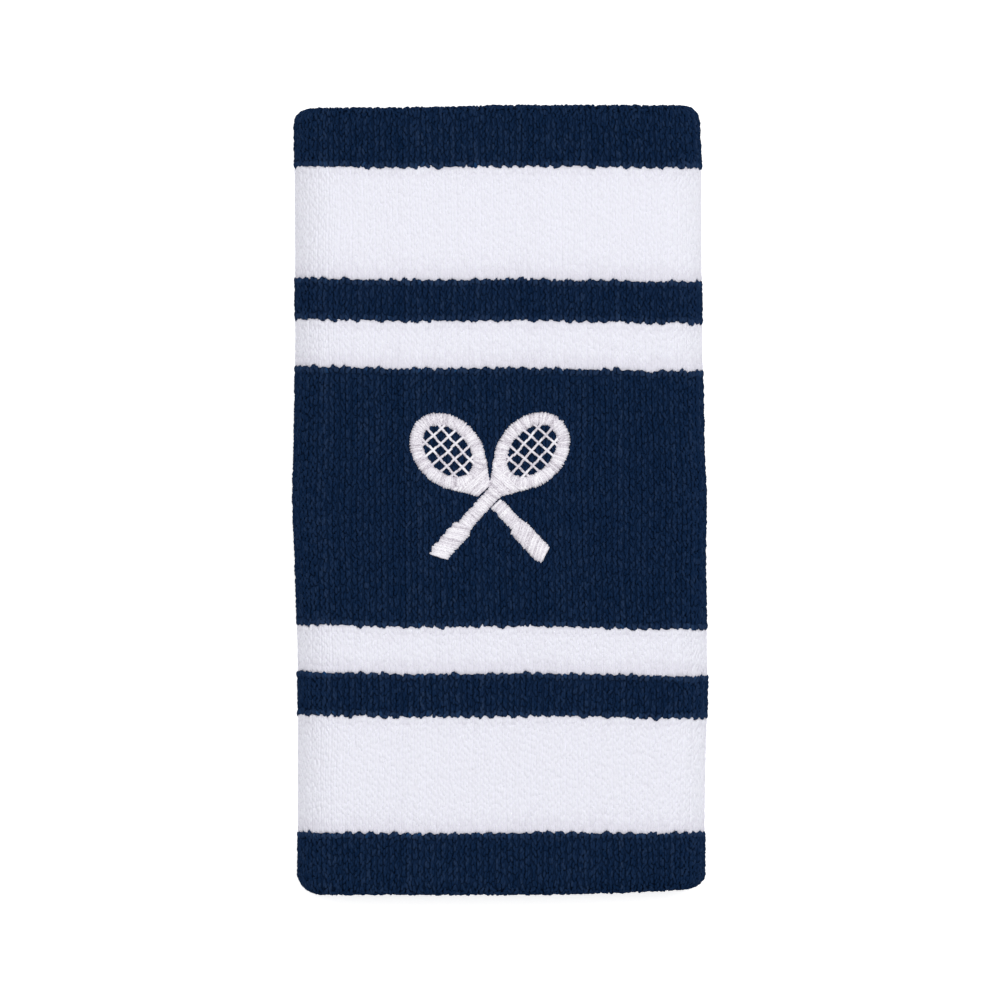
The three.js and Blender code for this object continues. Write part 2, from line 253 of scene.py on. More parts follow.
def around(s, depth):
    """The place around the tube: x, z for a way s around the outer surface at a depth below it."""
    flat, arc = 2 * FLAT_HALF, pi * RADIUS
    s = np.mod(s, PERIMETER)
    radius = RADIUS - depth
    on_right = (s >= flat) & (s < flat + arc)
    on_bottom = (s >= flat + arc) & (s < 2 * flat + arc)
    on_left = s >= 2 * flat + arc
    angle = np.where(on_right, (s - flat) / RADIUS, 0.0)
    angle = np.where(on_bottom, pi, angle)
    angle = np.where(on_left, pi + (s - 2 * flat - arc) / RADIUS, angle)
    x = np.where(on_right, FLAT_HALF, s - FLAT_HALF)
    x = np.where(on_bottom, FLAT_HALF - (s - flat - arc), x)
    x = np.where(on_left, -FLAT_HALF, x)
    return x + radius * np.sin(angle), RADIUS + radius * np.cos(angle)


def along(v, height, side):
    """Depth and y for a way v along the wall and a height above the pile's foot.

    v runs from the middle of the outer wall towards the end on the given side, round the roll
    and back along the inner wall.
    """
    angle = np.clip((v - STRAIGHT) / ROLL_RADIUS, 0, pi)
    radius = MIDDLE - PILE_FOOT + height
    depth = MIDDLE - radius * np.cos(angle)
    y = np.where(v <= STRAIGHT, v, STRAIGHT + radius * np.sin(angle))
    y = np.where(v >= INNER_START, STRAIGHT - (v - INNER_START), y)
    return depth, side * y


# ---------- how unevenly the band lies ----------

# Places across and up the band are shares of its half width and half length.
BAND_OFFSET = 0.08 * MM                          # of the whole band, to the left
BAND_LEAN = 0.3 * MM                             # of its top, to the left
SIDE_DRAW = 0.06 * MM                            # how far both sides are drawn in
# Bumps of the sides: the place up the band, the reach along it and how far the sides go out.
BELLY = [(0.0, 0.3, 0.3 * MM), (0.0, 0.09, 0.25 * MM)]
LOWER_BOW = (-0.45, 0.25, 0.35 * MM)             # of both sides, to the right
LOWER_SWELL = 0.2 * MM                           # and how far they go out there
SHOULDER = 0.42 * MM                             # how far the upper right side is drawn in
SKEW = 0.35 * MM                                 # of the courses, down on the right
SKEW_REACH = 0.62
TOP_DROP = 0.55 * MM                             # of the top end, towards the left
BOTTOM_RISE = 1.1 * MM                           # of the bottom end, towards the right
END_POWER = 8                                    # how close to the ends those stay
STRIPE_DRAW = 0.27 * MM                          # how far the stripes are drawn in along the band
RIPPLE = 0.136 * MM                              # of the courses across the band
RIPPLE_TURN = 5.07                               # radians for a half width
RIPPLE_SHIFT = 0.42                              # how far left of the middle it is deepest
INSIDE_POWER = 10                                # how close to the ends the stripes are drawn
# Left or right, bottom or top, and how far that corner is pulled in along the band.
CORNERS = [(-1, 1, 0.35 * MM), (1, 1, 0.3 * MM), (-1, -1, 1.1 * MM), (1, -1, 0.55 * MM)]
CORNER_FROM = 0.88                               # where a corner starts, across and up
CORNER_POWER = 1.1                               # above 1 it is round


def hump(up, middle, reach):
    """1 at the middle, falling to nearly 0 at twice the reach."""
    return np.exp(-((up - middle) / reach) ** 2)


def past_corner(share, most=None):
    """How far a share of the half width or half length is on its way from CORNER_FROM to 1."""
    return np.clip((share - CORNER_FROM) / (1 - CORNER_FROM), 0, most)


def outline_warp(points):
    """The band isn't perfectly straight: gentle bows, a slight skew and pulled-in corners."""
    x, y, z = (points[..., k] for k in range(3))
    across, up = x / HALF_WIDTH, y / HALF_LENGTH
    left, right = np.clip(-across, 0, 1), np.clip(across, 0, 1)

    swell = sum(out * hump(up, middle, reach) for middle, reach, out in BELLY) - SIDE_DRAW
    bow_at, bow_reach, bow = LOWER_BOW
    lower = hump(up, bow_at, bow_reach) * (bow + LOWER_SWELL * across)
    shoulder = SHOULDER * past_corner(up, 1) * right
    warped_x = x - BAND_LEAN * up - BAND_OFFSET + swell * across + lower - shoulder

    skew = SKEW * hump(up, 0.0, SKEW_REACH) * across
    ends = np.where(up > 0, -TOP_DROP * np.sqrt(left), BOTTOM_RISE * right ** 2) * abs(up) ** END_POWER
    inside = 1 - np.clip(abs(up), 0, 1) ** INSIDE_POWER
    ripple = RIPPLE * np.cos(RIPPLE_TURN * (across + RIPPLE_SHIFT))
    warped_y = y - skew + ends - (STRIPE_DRAW * up + ripple) * inside
    for side_x, side_y, pull in CORNERS:
        corner = past_corner(side_x * across) ** CORNER_POWER * past_corner(side_y * up)
        warped_y = warped_y - side_y * pull * corner
    return np.stack([warped_x, warped_y, z], axis=-1)


def place(s, v, height, side):
    """Points for ways around and along the wall and heights above the pile's foot."""
    depth, y = along(v, height, side)
    x, z = around(s, depth)
    return outline_warp(np.stack([x, y, np.maximum(z, cad_low.z)], axis=-1))


# ---------- meshes ----------

class Build:
    """Collects closed bodies made of quads and makes one object of them.

    Each has a bake map, a tone (the higher the lighter) and a twist (0 in the groove between the
    yarn's two plies, 1 or -1 on a ply's back).
    """

    def __init__(self):
        self.points, self.faces, self.uvs, self.tones, self.twists = [], [], [], [], []
        self.count = 0

    def add(self, points, faces, uv, tone, twist):
        """points n x 3, faces m x 4, uv m x 4 x 2, tone n, twist n."""
        self.points.append(points)
        self.faces.append(faces + self.count)
        self.uvs.append(uv.reshape(-1, 2))
        self.tones.append(tone)
        self.twists.append(twist)
        self.count += len(points)

    def object(self, name):
        piece = mesh_object(name, np.concatenate(self.points), np.concatenate(self.faces))
        layer = piece.data.uv_layers.new(name="OFBake")
        layer.data.foreach_set("uv", np.concatenate(self.uvs).astype(np.float32).ravel())
        for label, values in (("tone", self.tones), ("twist", self.twists)):
            attribute = piece.data.attributes.new(label, "FLOAT", "POINT")
            attribute.data.foreach_set("value", np.concatenate(values).astype(np.float32))
        return piece


def mesh_object(name, points, faces, smooth=True):
    mesh = bpy.data.meshes.new(name)
    mesh.vertices.add(len(points))
    mesh.vertices.foreach_set("co", np.ascontiguousarray(points, np.float32).ravel())
    mesh.loops.add(faces.size)
    mesh.loops.foreach_set("vertex_index", np.ascontiguousarray(faces, np.int32).ravel())
    mesh.polygons.add(len(faces))
    mesh.polygons.foreach_set("loop_start", np.arange(len(faces), dtype=np.int32) * faces.shape[1])
    mesh.polygons.foreach_set("use_smooth", np.full(len(faces), smooth))
    mesh.update(calc_edges=True)
    piece = bpy.data.objects.new(name, mesh)
    bpy.context.scene.collection.objects.link(piece)
    return piece


def tube_faces(rings, sides):
    """Quads of a tube of rings x sides points with closed ends, and their places in its own map."""
    faces, spots = [], []
    for ring in range(rings - 1):
        for k in range(sides):
            a, b = ring * sides + k, ring * sides + (k + 1) % sides
            faces.append((a, b, b + sides, a + sides))
            spots.append(((k, ring), (k + 1, ring), (k + 1, ring + 1), (k, ring + 1)))
    for ring, order in ((0, -1), (rings - 1, 1)):
        for k in range(1, sides - 2, 2):
            corners = (0, k, k + 1, k + 2)
            faces.append(tuple(ring * sides + c for c in corners)[::order])
            spots.append(tuple((c, ring) for c in corners)[::order])
    return np.array(faces), np.array(spots, float) / (sides, rings - 1)


def add_tubes(build, shapes, tone, twist, flip=False, lowest=0.0):
    """Adds closed tubes, count x rings x sides x 3 points, each in its own cell of the bake map.

    sides is an even number. tone has one value for each tube, and twist one for each point.
    The cells start at the map's height given by lowest.
    """
    count, rings, sides, _ = shapes.shape
    faces, spots = tube_faces(rings, sides)
    if flip:
        faces, spots = faces[:, ::-1], spots[:, ::-1]
    grid = ceil(sqrt(count))
    cells = np.arange(count)
    inner = CELL_MARGIN + (1 - 2 * CELL_MARGIN) * spots
    u = ((cells % grid)[:, None, None] + inner[..., 0]) / grid
    v = ((cells // grid)[:, None, None] + inner[..., 1]) / grid
    uv = np.stack([u, lowest + (1 - lowest) * v], axis=-1)
    all_faces = (cells[:, None, None] * (rings * sides) + faces).reshape(-1, 4)
    build.add(shapes.reshape(-1, 3), all_faces, uv, np.repeat(tone, rings * sides), twist.ravel())


def add_loft(build, points, uv_box, tone, flip=False):
    """Adds a closed ring of sections, columns x count x 3 points, each section a closed outline.

    tone is one number, or one for each point of a section.
    """
    columns, count, _ = points.shape
    i, j = (k.ravel() for k in np.meshgrid(np.arange(columns), np.arange(count), indexing="ij"))
    here, ahead = i * count, (i + 1) % columns * count
    j_next = (j + 1) % count
    faces = np.stack([here + j, here + j_next, ahead + j_next, ahead + j], 1)
    corners = ((i, j), (i, j + 1), (i + 1, j + 1), (i + 1, j))
    uv = np.stack([np.stack([a / columns, b / count], 1) for a, b in corners], 1)
    if flip:
        faces, uv = faces[:, ::-1], uv[:, ::-1]
    ones = np.ones((columns, count))
    build.add(points.reshape(-1, 3), faces, uv * uv_box, (tone * ones).ravel(), ones.ravel())


def sweep(centres, radius, squash=0.0, turns=1.0, sides=6, up=(0, 0, 1)):
    """Tube points around centre lines, count x rings x 3, and how their two plies twist.

    The section is an ellipse, 1 + squash by 1 - squash, which turns with the plies.
    """
    count, rings, _ = centres.shape
    tangent = np.gradient(centres, axis=1)
    tangent /= np.linalg.norm(tangent, axis=-1, keepdims=True)
    first = np.cross(np.array(up, float), tangent)
    lengths = np.linalg.norm(first, axis=-1, keepdims=True)
    first = first / np.maximum(lengths, 1e-9)
    second = np.cross(tangent, first)
    beta = 2 * pi * np.arange(sides) / sides
    start = rng.uniform(0, 2 * pi, (count, 1, 1))
    phase = beta + turns * 2 * pi * np.linspace(0, 1, rings)[:, None] + start
    reach = radius[..., None] * (1 + squash * np.cos(2 * phase))
    around_it = reach[..., None] * (np.cos(beta)[:, None] * first[:, :, None]
                                    + np.sin(beta)[:, None] * second[:, :, None])
    return centres[:, :, None] + around_it, np.cos(phase)


# ---------- pile ----------

def loop_shapes(height, turn, yarn, rings, radius, short):
    """Arched yarn loops in their own space, across, along and up, and how their plies twist.

    short says how much shorter and thicker a loop is, up to 1 for the round ones at an edge.
    """
    count = len(height)
    arch = np.linspace(0, pi, rings)
    height, turn, short = height[:, None], turn[:, None], short[:, None]
    stretch = rng.uniform(*LENGTH_SPREAD, (count, 1)) * (1 - EDGE_SHORTER * short)
    b = -LOOP_HALF_LENGTH[yarn] * stretch * np.cos(arch) * (1 + LOOP_BULGE * np.sin(arch) ** 2)
    h = LOOP_FOOT + (height - radius - LOOP_FOOT) * np.sin(arch) ** LOOP_FLATNESS
    a = rng.normal(0, LOOP_CURL, (count, 1)) * np.sin(2 * arch)
    sway = LOOP_SWAY[yarn] * rng.normal(0, 1, (2, count, 1)) * (h / height) ** 2
    across = a * np.cos(turn) - b * np.sin(turn) + SIDE_SWAY * sway[0]
    forward = a * np.sin(turn) + b * np.cos(turn) + sway[1]
    swell = rng.uniform(*YARN_SPREAD, (count, 1)) * (1 + EDGE_THICKER * short)
    thick = radius * (FOOT_THICKNESS + (1 - FOOT_THICKNESS) * np.sin(arch)) * swell
    return sweep(np.stack([across, forward, h], axis=-1), thick, PLY_SQUASH)


def strand_places(strands, yarn):
    """Places of a wale's strands of loops from the wale's middle: two ribs of 1 or 2 strands."""
    sides = np.array([-1, 1])
    ribs = (WALE / 4 - RIB_LEAN) * sides
    if strands == 2:
        return ribs
    return (ribs[:, None] + (WALE / 8 - STRAND_LEAN[yarn]) * sides).ravel()


def terry(name, side, v_from, v_to, yarn, strands=4, rings=7, radius=None, pressed=None):
    """One stripe of pile: rows of loops from v_from to v_to along the wall, all around the tube.

    pressed gives, for loops at s and v, how much of their height they keep; 0 leaves a loop out.
    """
    radius = radius or YARN_RADIUS[yarn]
    rows = max(2, round((v_to - v_from) / COURSE_PITCH))
    margin = LOOP_MARGIN[yarn]
    step = (v_to - v_from - 2 * margin) / rows
    grid = np.meshgrid(np.arange(WALES), np.arange(strands), np.arange(rows), indexing="ij")
    wale, strand, row = (k.ravel() for k in grid)
    even = strand % 2 == 0

    s = (wale + 0.5) * WALE + strand_places(strands, yarn)[strand]
    inner_row = np.clip(np.minimum(row, rows - 1 - row), END_STAGGER, 1)
    v = v_from + margin + (row + 0.5 + np.where(even, -STAGGER, STAGGER) * inner_row) * step
    rolled = (v > STRAIGHT - ROLL_LEAD) & (v < INNER_START)
    s = s + rng.normal(0, 1, s.shape) * np.where(rolled, ROLL_SCATTER, SCATTER)
    border = near_edge(v, side)
    curl = np.clip((v - STRAIGHT) / (CURL_FROM * ROLL) - 1, 0, 1) * rolled
    loose = np.clip(1 - STEP_HOLD * border, 0, 1)
    v = v + (WALE_SHIFTS[wale] + rng.normal(0, LOOP_SHIFT, v.shape)) * loose

    height = pile_heights(s, v, yarn)
    uneven = rng.normal(0, 1, s.shape) * (1 + EDGE_TURN * border + CURL_TURN * curl)
    turn = np.where(even, LOOP_LEAN, -LOOP_LEAN) + LOOP_TURN[yarn] * uneven
    tone = rng.uniform(*LOOP_TONES, s.shape) + RIB_TONES[wale, strand * 2 // strands]
    # Painted light on navy loops at an edge, painted shade on white loops near the navy.
    tone = tone + (PAINTED_EDGE_LIGHT * border if yarn == "navy" else -painted_edge_shade(side * v))
    s, v = stray(s, v, side)
    keep = np.ones(len(s)) if pressed is None else pressed(s, v, side)
    kept = keep > 0
    s, v, height, turn, border, tone = (k[kept] for k in (s, v, height * keep, turn, border, tone))
    shape, twist = loop_shapes(height, turn, yarn, rings, radius, EDGE_ROUND[yarn] * border)
    a, b, h = (shape[..., k] for k in range(3))
    points = place(s[:, None, None] + a, v[:, None, None] + b, h, side)
    build = Build()
    add_tubes(build, points, tone, twist, flip=side < 0, lowest=BASE_UV)
    add_base(build, side, v_from, v_to, yarn)
    return build.object(name)


def add_base(build, side, v_from, v_to, yarn):
    """The closed knit under a stripe's loops: a thin ring around the tube, lower between ribs."""
    columns = BASE_COLUMNS * WALES
    runs = max(3, ceil((v_to - v_from) / BASE_COURSE))
    way = np.linspace(v_from, v_to, runs)
    v = np.concatenate([way, way[::-1]])
    on_top = np.arange(2 * runs) < runs
    s = np.arange(columns) * PERIMETER / columns
    groove = BASE_GROOVE[yarn] * np.cos(2 * pi * s / WALE) ** 2
    height = np.where(on_top, BASE_TOP[yarn] - groove[:, None], BASE_LOW)
    grid_s, grid_v, height = np.broadcast_arrays(s[:, None], v, height)
    points = place(*stray(grid_s, grid_v, side), height, side)
    # Its tone is darker than the loops': painted shade between them.
    tone = np.full(v.shape, SHADED_BASE_TONE[yarn])
    # White base gets the same painted shade near the navy stripes.
    if yarn == "white":
        tone = tone - painted_edge_shade(side * v)
    add_loft(build, points, (1, BASE_UV - UV_GAP), tone, flip=side > 0)


# ---------- materials ----------

class Nodes:
    """Short calls for building one material's nodes."""

    def __init__(self, name):
        self.material = bpy.data.materials.new(name)
        self.material.use_nodes = True
        self.tree = self.material.node_tree
        self.shader = self.tree.nodes["Principled BSDF"]

    def new(self, kind, **settings):
        node = self.tree.nodes.new(kind)
        for key, value in settings.items():
            setattr(node, key, value)
        return node

    def link(self, output, socket):
        self.tree.links.new(output, socket)

    def math(self, operation, *sources, clamp=False):
        """A calculation with numbers and outputs."""
        node = self.new("ShaderNodeMath", operation=operation, use_clamp=clamp)
        for source, socket in zip(sources, node.inputs):
            if isinstance(source, (int, float)):
                socket.default_value = source
            else:
                self.link(source, socket)
        return node.outputs["Value"]

    def add(self, base, extra, share):
        """An output, with a share of another added."""
        return self.math("MULTIPLY_ADD", extra, share, base)

    def spots(self, scale):
        """Places on the object, scaled by (x, y, z) in patterns a metre."""
        spot = self.new("ShaderNodeTexCoord")
        stretch = self.new("ShaderNodeMapping")
        stretch.inputs["Scale"].default_value = scale
        self.link(spot.outputs["Object"], stretch.inputs["Vector"])
        return stretch.outputs["Vector"]

    def noise(self, scale, detail=3.0):
        node = self.new("ShaderNodeTexNoise")
        node.inputs["Scale"].default_value = 1.0
        node.inputs["Detail"].default_value = detail
        self.link(self.spots(scale), node.inputs["Vector"])
        return node.outputs["Fac"]

    def bands(self, pitch, direction, distortion=0.0):
        """Soft bands across a direction, a pitch apart."""
        node = self.new("ShaderNodeTexWave", wave_type="BANDS", bands_direction=direction)
        node.inputs["Scale"].default_value = 1.0
        node.inputs["Distortion"].default_value = distortion
        self.link(self.spots((1 / pitch / WAVE_BANDS,) * 3), node.inputs["Vector"])
        return node.outputs["Fac"]

    def attribute(self, name):
        node = self.new("ShaderNodeAttribute", attribute_name=name)
        return node.outputs["Fac"]

    def colour(self, source, stops):
        """Colours the shader by a source, with stops given as (value, colour)."""
        node = self.new("ShaderNodeValToRGB")
        elements = node.color_ramp.elements
        while len(elements) < len(stops):
            elements.new(0.5)
        for element, (position, colour) in zip(elements, stops):
            element.position = position
            element.color = (*colour, 1)
        self.link(source, node.inputs["Fac"])
        self.link(node.outputs["Color"], self.shader.inputs["Base Color"])

    def bump(self, height, strength, distance):
        node = self.new("ShaderNodeBump")
        node.inputs["Strength"].default_value = strength
        node.inputs["Distance"].default_value = distance
        self.link(height, node.inputs["Height"])
        self.link(node.outputs["Normal"], self.shader.inputs["Normal"])

    def finish(self, **values):
        """Sets the shader's own sockets, named with _ for a space, and gives the material."""
        for key, value in values.items():
            self.shader.inputs[key.replace("_", " ")].default_value = value
        return self.material


WAVE_BANDS = 20 / (2 * pi)                       # of a Wave Texture, for each unit of its space
FINE = (4000, 4000, 4000)                        # fibres to a metre
PLY_RISE = 1.8                                   # how steeply plies rise from their groove


def yarn_parts(m, fibre_scale):
    """Fine fibres, and how high the yarn's two plies stand out of the groove between them."""
    fibre = m.noise(fibre_scale)
    ply = m.math("MULTIPLY", m.math("ABSOLUTE", m.attribute("twist")), PLY_RISE, clamp=True)
    return fibre, ply


def cotton(name, stops, relief, specular):
    """Spun cotton: colour varies from loop to loop and along the fibres; the plies' groove has painted
    shade.
    """
    m = Nodes(name)
    fibre, ply = yarn_parts(m, (9000, 3600, 9000))
    tone = m.add(m.math("MULTIPLY", fibre, 0.45), m.attribute("tone"), share=0.3)
    # The groove between the plies is painted darker: painted shade.
    m.colour(m.add(tone, ply, share=0.10), stops)
    m.bump(m.add(fibre, ply, share=0.4), strength=relief, distance=0.08 * MM)
    return m.finish(Roughness=0.92, Specular_IOR_Level=specular)


def satin():
    """Glossy polyester embroidery thread."""
    m = Nodes("embroidery_thread")
    fibre, ply = yarn_parts(m, (4500, 4500, 4500))
    tone = m.add(m.math("MULTIPLY", fibre, 0.9), m.attribute("tone"), share=0.4)
    # The groove between the plies is painted darker: painted shade.
    m.colour(m.add(tone, ply, share=0.12), THREAD_STOPS)
    m.bump(m.add(ply, fibre, share=0.3), strength=0.35, distance=0.05 * MM)
    return m.finish(Roughness=0.45, Specular_IOR_Level=0.35)


def ground_knit():
    """Fine jersey: columns of stitches and courses across them."""
    m = Nodes("ground_knit")
    columns = m.bands(0.94 * MM, "X", distortion=1.2)
    courses = m.bands(0.7 * MM, "Y", distortion=2.0)
    height = m.add(m.math("MULTIPLY", columns, courses), m.noise(FINE), share=0.4)
    m.colour(height, [(0.1, (0.002, 0.007, 0.022)), (1.0, (0.014, 0.032, 0.075))])
    m.bump(height, strength=0.7, distance=0.15 * MM)
    return m.finish(Roughness=0.9, Specular_IOR_Level=0.1)


def covered_elastic():
    """Rubber core wound with fine pale yarn."""
    m = Nodes("covered_elastic")
    winding = m.bands(0.35 * MM, "DIAGONAL", distortion=0.6)
    height = m.add(winding, m.noise((3000, 3000, 3000)), share=0.35)
    m.colour(height, [(0.1, (0.52, 0.48, 0.42)), (0.9, (0.86, 0.84, 0.79))])
    m.bump(height, strength=0.6, distance=0.1 * MM)
    return m.finish(Roughness=0.6, Specular_IOR_Level=0.3)


def tear_away():
    """Non-woven backing: pressed fibres running every way."""
    m = Nodes("tear_away_backing")
    lengthwise, crosswise = m.noise((5000, 700, 2000), 5.0), m.noise((800, 5200, 2000), 5.0)
    height = m.math("MAXIMUM", lengthwise, crosswise)
    m.colour(height, [(0.35, (0.70, 0.69, 0.66)), (0.75, (0.90, 0.90, 0.87))])
    m.bump(height, strength=0.6, distance=0.06 * MM)
    return m.finish(Roughness=0.85, Specular_IOR_Level=0.15)


def bobbin():
    """Matte bobbin thread, laid in a dense zigzag under the emblem."""
    m = Nodes("bobbin_thread")
    height = m.add(m.bands(0.4 * MM, "Y", distortion=1.5), m.noise(FINE), share=0.3)
    m.colour(height, [(0.1, (0.62, 0.60, 0.64)), (0.9, (0.90, 0.89, 0.92))])
    m.bump(height, strength=0.6, distance=0.08 * MM)
    return m.finish(Roughness=0.7, Specular_IOR_Level=0.2)


# The upper stops are reached mostly by the painted light on navy loops at stripe edges.
NAVY_STOPS = [
    (0.10, (0.0008, 0.0082, 0.031)),
    (0.50, (0.0084, 0.0222, 0.061)),
    (0.74, (0.0200, 0.0388, 0.087)),
    (0.90, (0.0085, 0.0440, 0.130)),
]
# The lowest stop is reached by the painted shade near the navy and in the knit between the loops.
WHITE_STOPS = [
    (0.00, (0.715, 0.705, 0.778)),
    (0.35, (0.804, 0.804, 0.872)),
    (0.90, (0.823, 0.823, 0.892)),
]
THREAD_STOPS = [
    (0.35, (0.360, 0.325, 0.375)),
    (0.70, (0.765, 0.732, 0.795)),
    (1.00, (0.930, 0.920, 0.955)),
]
NAVY = cotton("navy_cotton", NAVY_STOPS, relief=0.5, specular=0.0)
WHITE = cotton("white_cotton", WHITE_STOPS, relief=0.05, specular=0.03)
THREAD = satin()
YARN_MATERIAL = {"navy": NAVY, "white": WHITE}


def finish_piece(piece, material, slot, *nodes):
    piece.data.materials.append(material)
    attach(piece, "root")
    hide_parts(*nodes)


# ---------- the emblem: two crossed rackets in satin stitch ----------

# Places on a racket are given across it and along it from the crossing, towards the head.
backing_low, backing_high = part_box("embroidery_backing")
over_low, over_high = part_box("emblem_racket_over")
EMBLEM_X = (backing_low.x + backing_high.x) / 2
EMBLEM_Y = (backing_low.y + backing_high.y) / 2
RACKET_TILT = radians(42)
HEAD_CENTRE = 10.0 * MM
HEAD_HALF_LENGTH = 6.8 * MM
HEAD_HALF_WIDTH = 5.2 * MM
HEAD_START = HEAD_CENTRE - HEAD_HALF_LENGTH
RIM_WIDTH = 1.9 * MM
BED_HALF_LENGTH = HEAD_HALF_LENGTH - RIM_WIDTH   # of the strings' opening
BED_HALF_WIDTH = HEAD_HALF_WIDTH - RIM_WIDTH
SHAFT_HALF = 1.05 * MM
THROAT_FROM = 1.0 * MM                           # where the shaft widens
THROAT_SPREAD = 0.633                            # how fast its half width grows from there on
THROAT_SPLIT = HEAD_START + RIM_WIDTH / 2        # where the throat's two arms part
THROAT_END = HEAD_START + 1.8 * MM
ARM_INSET = 0.6 * MM                             # of an arm's inner side, inside the head's outline
ARM_LEAST = 0.3 * MM                             # an arm is at least this wide
GRIP_HALF = 1.5 * MM
GRIP_TOP = -6.0 * MM
GRIP_END = -13.0 * MM
GRIP_FROM = GRIP_END + 0.2 * MM                  # of the middles of its stitches
GRIP_TO = GRIP_TOP + 0.1 * MM
GRIP_OVERLAP = 0.3 * MM                          # of its highest stitches, over the shaft
GRIP_CORNER = 0.8 * MM                           # how far from an end the grip narrows
GRIP_TAPER = 0.5                                 # and how fast its half width shrinks there
GRIP_SLANT = 0.55                                # a grip stitch's rise along it, for its width

THREAD_RADIUS = 0.19 * MM
STITCH_PITCH = 0.34 * MM
RIM_PITCH = 1.06 * STITCH_PITCH
STITCH_TOP = over_high.z - THREAD_RADIUS
STITCH_SIDE = STITCH_TOP - 0.42 * MM             # where a stitch dives into the pile
STITCH_FOOT = over_low.z - 0.1 * MM
STITCH_DIVE = 0.02                               # of its length, at each end
STITCH_SCATTER = 0.05 * MM                       # of its two ends
CROWN_SPREAD = (0.85, 1.05)                      # how high the stitches stand
UNDERLAY_INSET = 0.2 * MM                        # padding threads under the satin
UNDERLAY_DROP = 0.14 * MM
UNDERLAY_RADIUS = 0.30 * MM

STRING_PITCH = 1.7 * MM
STRING_RADIUS = 0.21 * MM
STRING_DROP = 0.1 * MM                           # of the thread's middle, below its CAD node's top
STRING_REACH = 0.35 * MM                         # of the strings, under the rim
# In pitches from the head's middle: the strings, and where their stitches meet.
STRING_PLACES = range(-2, 3)
CROSSWISE_CUTS = (-0.5, 0.5)
LENGTHWISE_CUTS = (-1.5, -0.5, 0.5, 1.5)

EMBLEM_NODES = ["emblem_racket_over", "emblem_racket_under_head", "emblem_racket_under_grip"]
STRING_NODES = ["emblem_strings_over", "emblem_strings_under"]


def on_band(a, way, lean):
    """x and y of a place on a racket: a across it and way along it from the crossing."""
    x = EMBLEM_X + a * np.cos(lean) + way * np.sin(lean)
    y = EMBLEM_Y - a * np.sin(lean) + way * np.cos(lean)
    return x, y


def throat_half(way):
    """Half width of the throat, which widens towards the head."""
    return SHAFT_HALF + THROAT_SPREAD * (way - THROAT_FROM)


def grip_half(way):
    """Half width of the grip, narrower at its two ends."""
    at_end = np.clip(GRIP_CORNER - (way - GRIP_END), 0, None)
    at_top = np.clip(GRIP_CORNER - (GRIP_TOP - way), 0, None)
    return GRIP_HALF - GRIP_TAPER * np.minimum(at_end + at_top, GRIP_CORNER)


# Each of these gives the stitches' first ends, across and along, and then their second ends.

def shaft_stitches():
    way = np.arange(GRIP_TOP, THROAT_FROM, STITCH_PITCH)
    half = np.full(way.shape, SHAFT_HALF)
    return -half, way, half, way


def throat_stitches():
    way = np.arange(THROAT_FROM, THROAT_SPLIT, STITCH_PITCH)
    return -throat_half(way), way, throat_half(way), way


def arm_stitches(side):
    """Between the throat's outline and the head's opening, on one side."""
    way = np.arange(THROAT_SPLIT, THROAT_END, STITCH_PITCH)
    head_half = HEAD_HALF_WIDTH * np.sqrt(1 - ((way - HEAD_CENTRE) / HEAD_HALF_LENGTH) ** 2)
    inner = head_half - ARM_INSET
    outer = np.maximum(throat_half(way), inner + ARM_LEAST)
    return side * inner, way, side * outer, way


def grip_stitches():
    """Slanting stitches around the grip, held inside it at its ends."""
    way = np.arange(GRIP_FROM, GRIP_TO, STITCH_PITCH)
    rise = GRIP_SLANT * GRIP_HALF
    low, high = (np.clip(way + k, GRIP_END, GRIP_TOP + GRIP_OVERLAP) for k in (-rise, rise))
    return -grip_half(low), low, grip_half(high), high


def rim_stitches():
    """Stitches across the rim of the head, evenly spaced around it."""
    fine = np.linspace(0, 2 * pi, 721)
    mid_a, mid_way = HEAD_HALF_WIDTH - RIM_WIDTH / 2, HEAD_HALF_LENGTH - RIM_WIDTH / 2
    run = np.hypot(np.diff(mid_a * np.sin(fine)), np.diff(mid_way * np.cos(fine))).cumsum()
    count = round(run[-1] / RIM_PITCH)
    angle = np.interp((np.arange(count) + 0.5) * run[-1] / count, run, fine[1:])
    ends = []
    for half_a, half_way in ((BED_HALF_WIDTH, BED_HALF_LENGTH), (HEAD_HALF_WIDTH, HEAD_HALF_LENGTH)):
        ends += [half_a * np.sin(angle), HEAD_CENTRE - half_way * np.cos(angle)]
    return ends


def racket_stitches():
    """Both ends of each satin stitch of a racket, as two count x 2 arrays of places on it."""
    areas = [shaft_stitches(), throat_stitches(), arm_stitches(-1), arm_stitches(1),
             grip_stitches(), rim_stitches()]
    a0, way0, a1, way1 = (np.concatenate(parts) for parts in zip(*areas))
    return np.stack([a0, way0], axis=-1), np.stack([a1, way1], axis=-1)


def tree_of(nodes):
    """For casting rays at CAD nodes."""
    points, faces = [], []
    for node in nodes:
        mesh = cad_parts[node].data
        faces += [tuple(k + len(points) for k in f.vertices) for f in mesh.polygons]
        points += [tuple(p.co) for p in mesh.vertices]
    return BVHTree.FromPolygons(points, faces)


def under_ray(tree, x, y):
    """Whether the nodes lie under a place on the band's face."""
    return tree.ray_cast(Vector((x, y, 2 * THICKNESS)), Vector((0, 0, -1)))[0] is not None


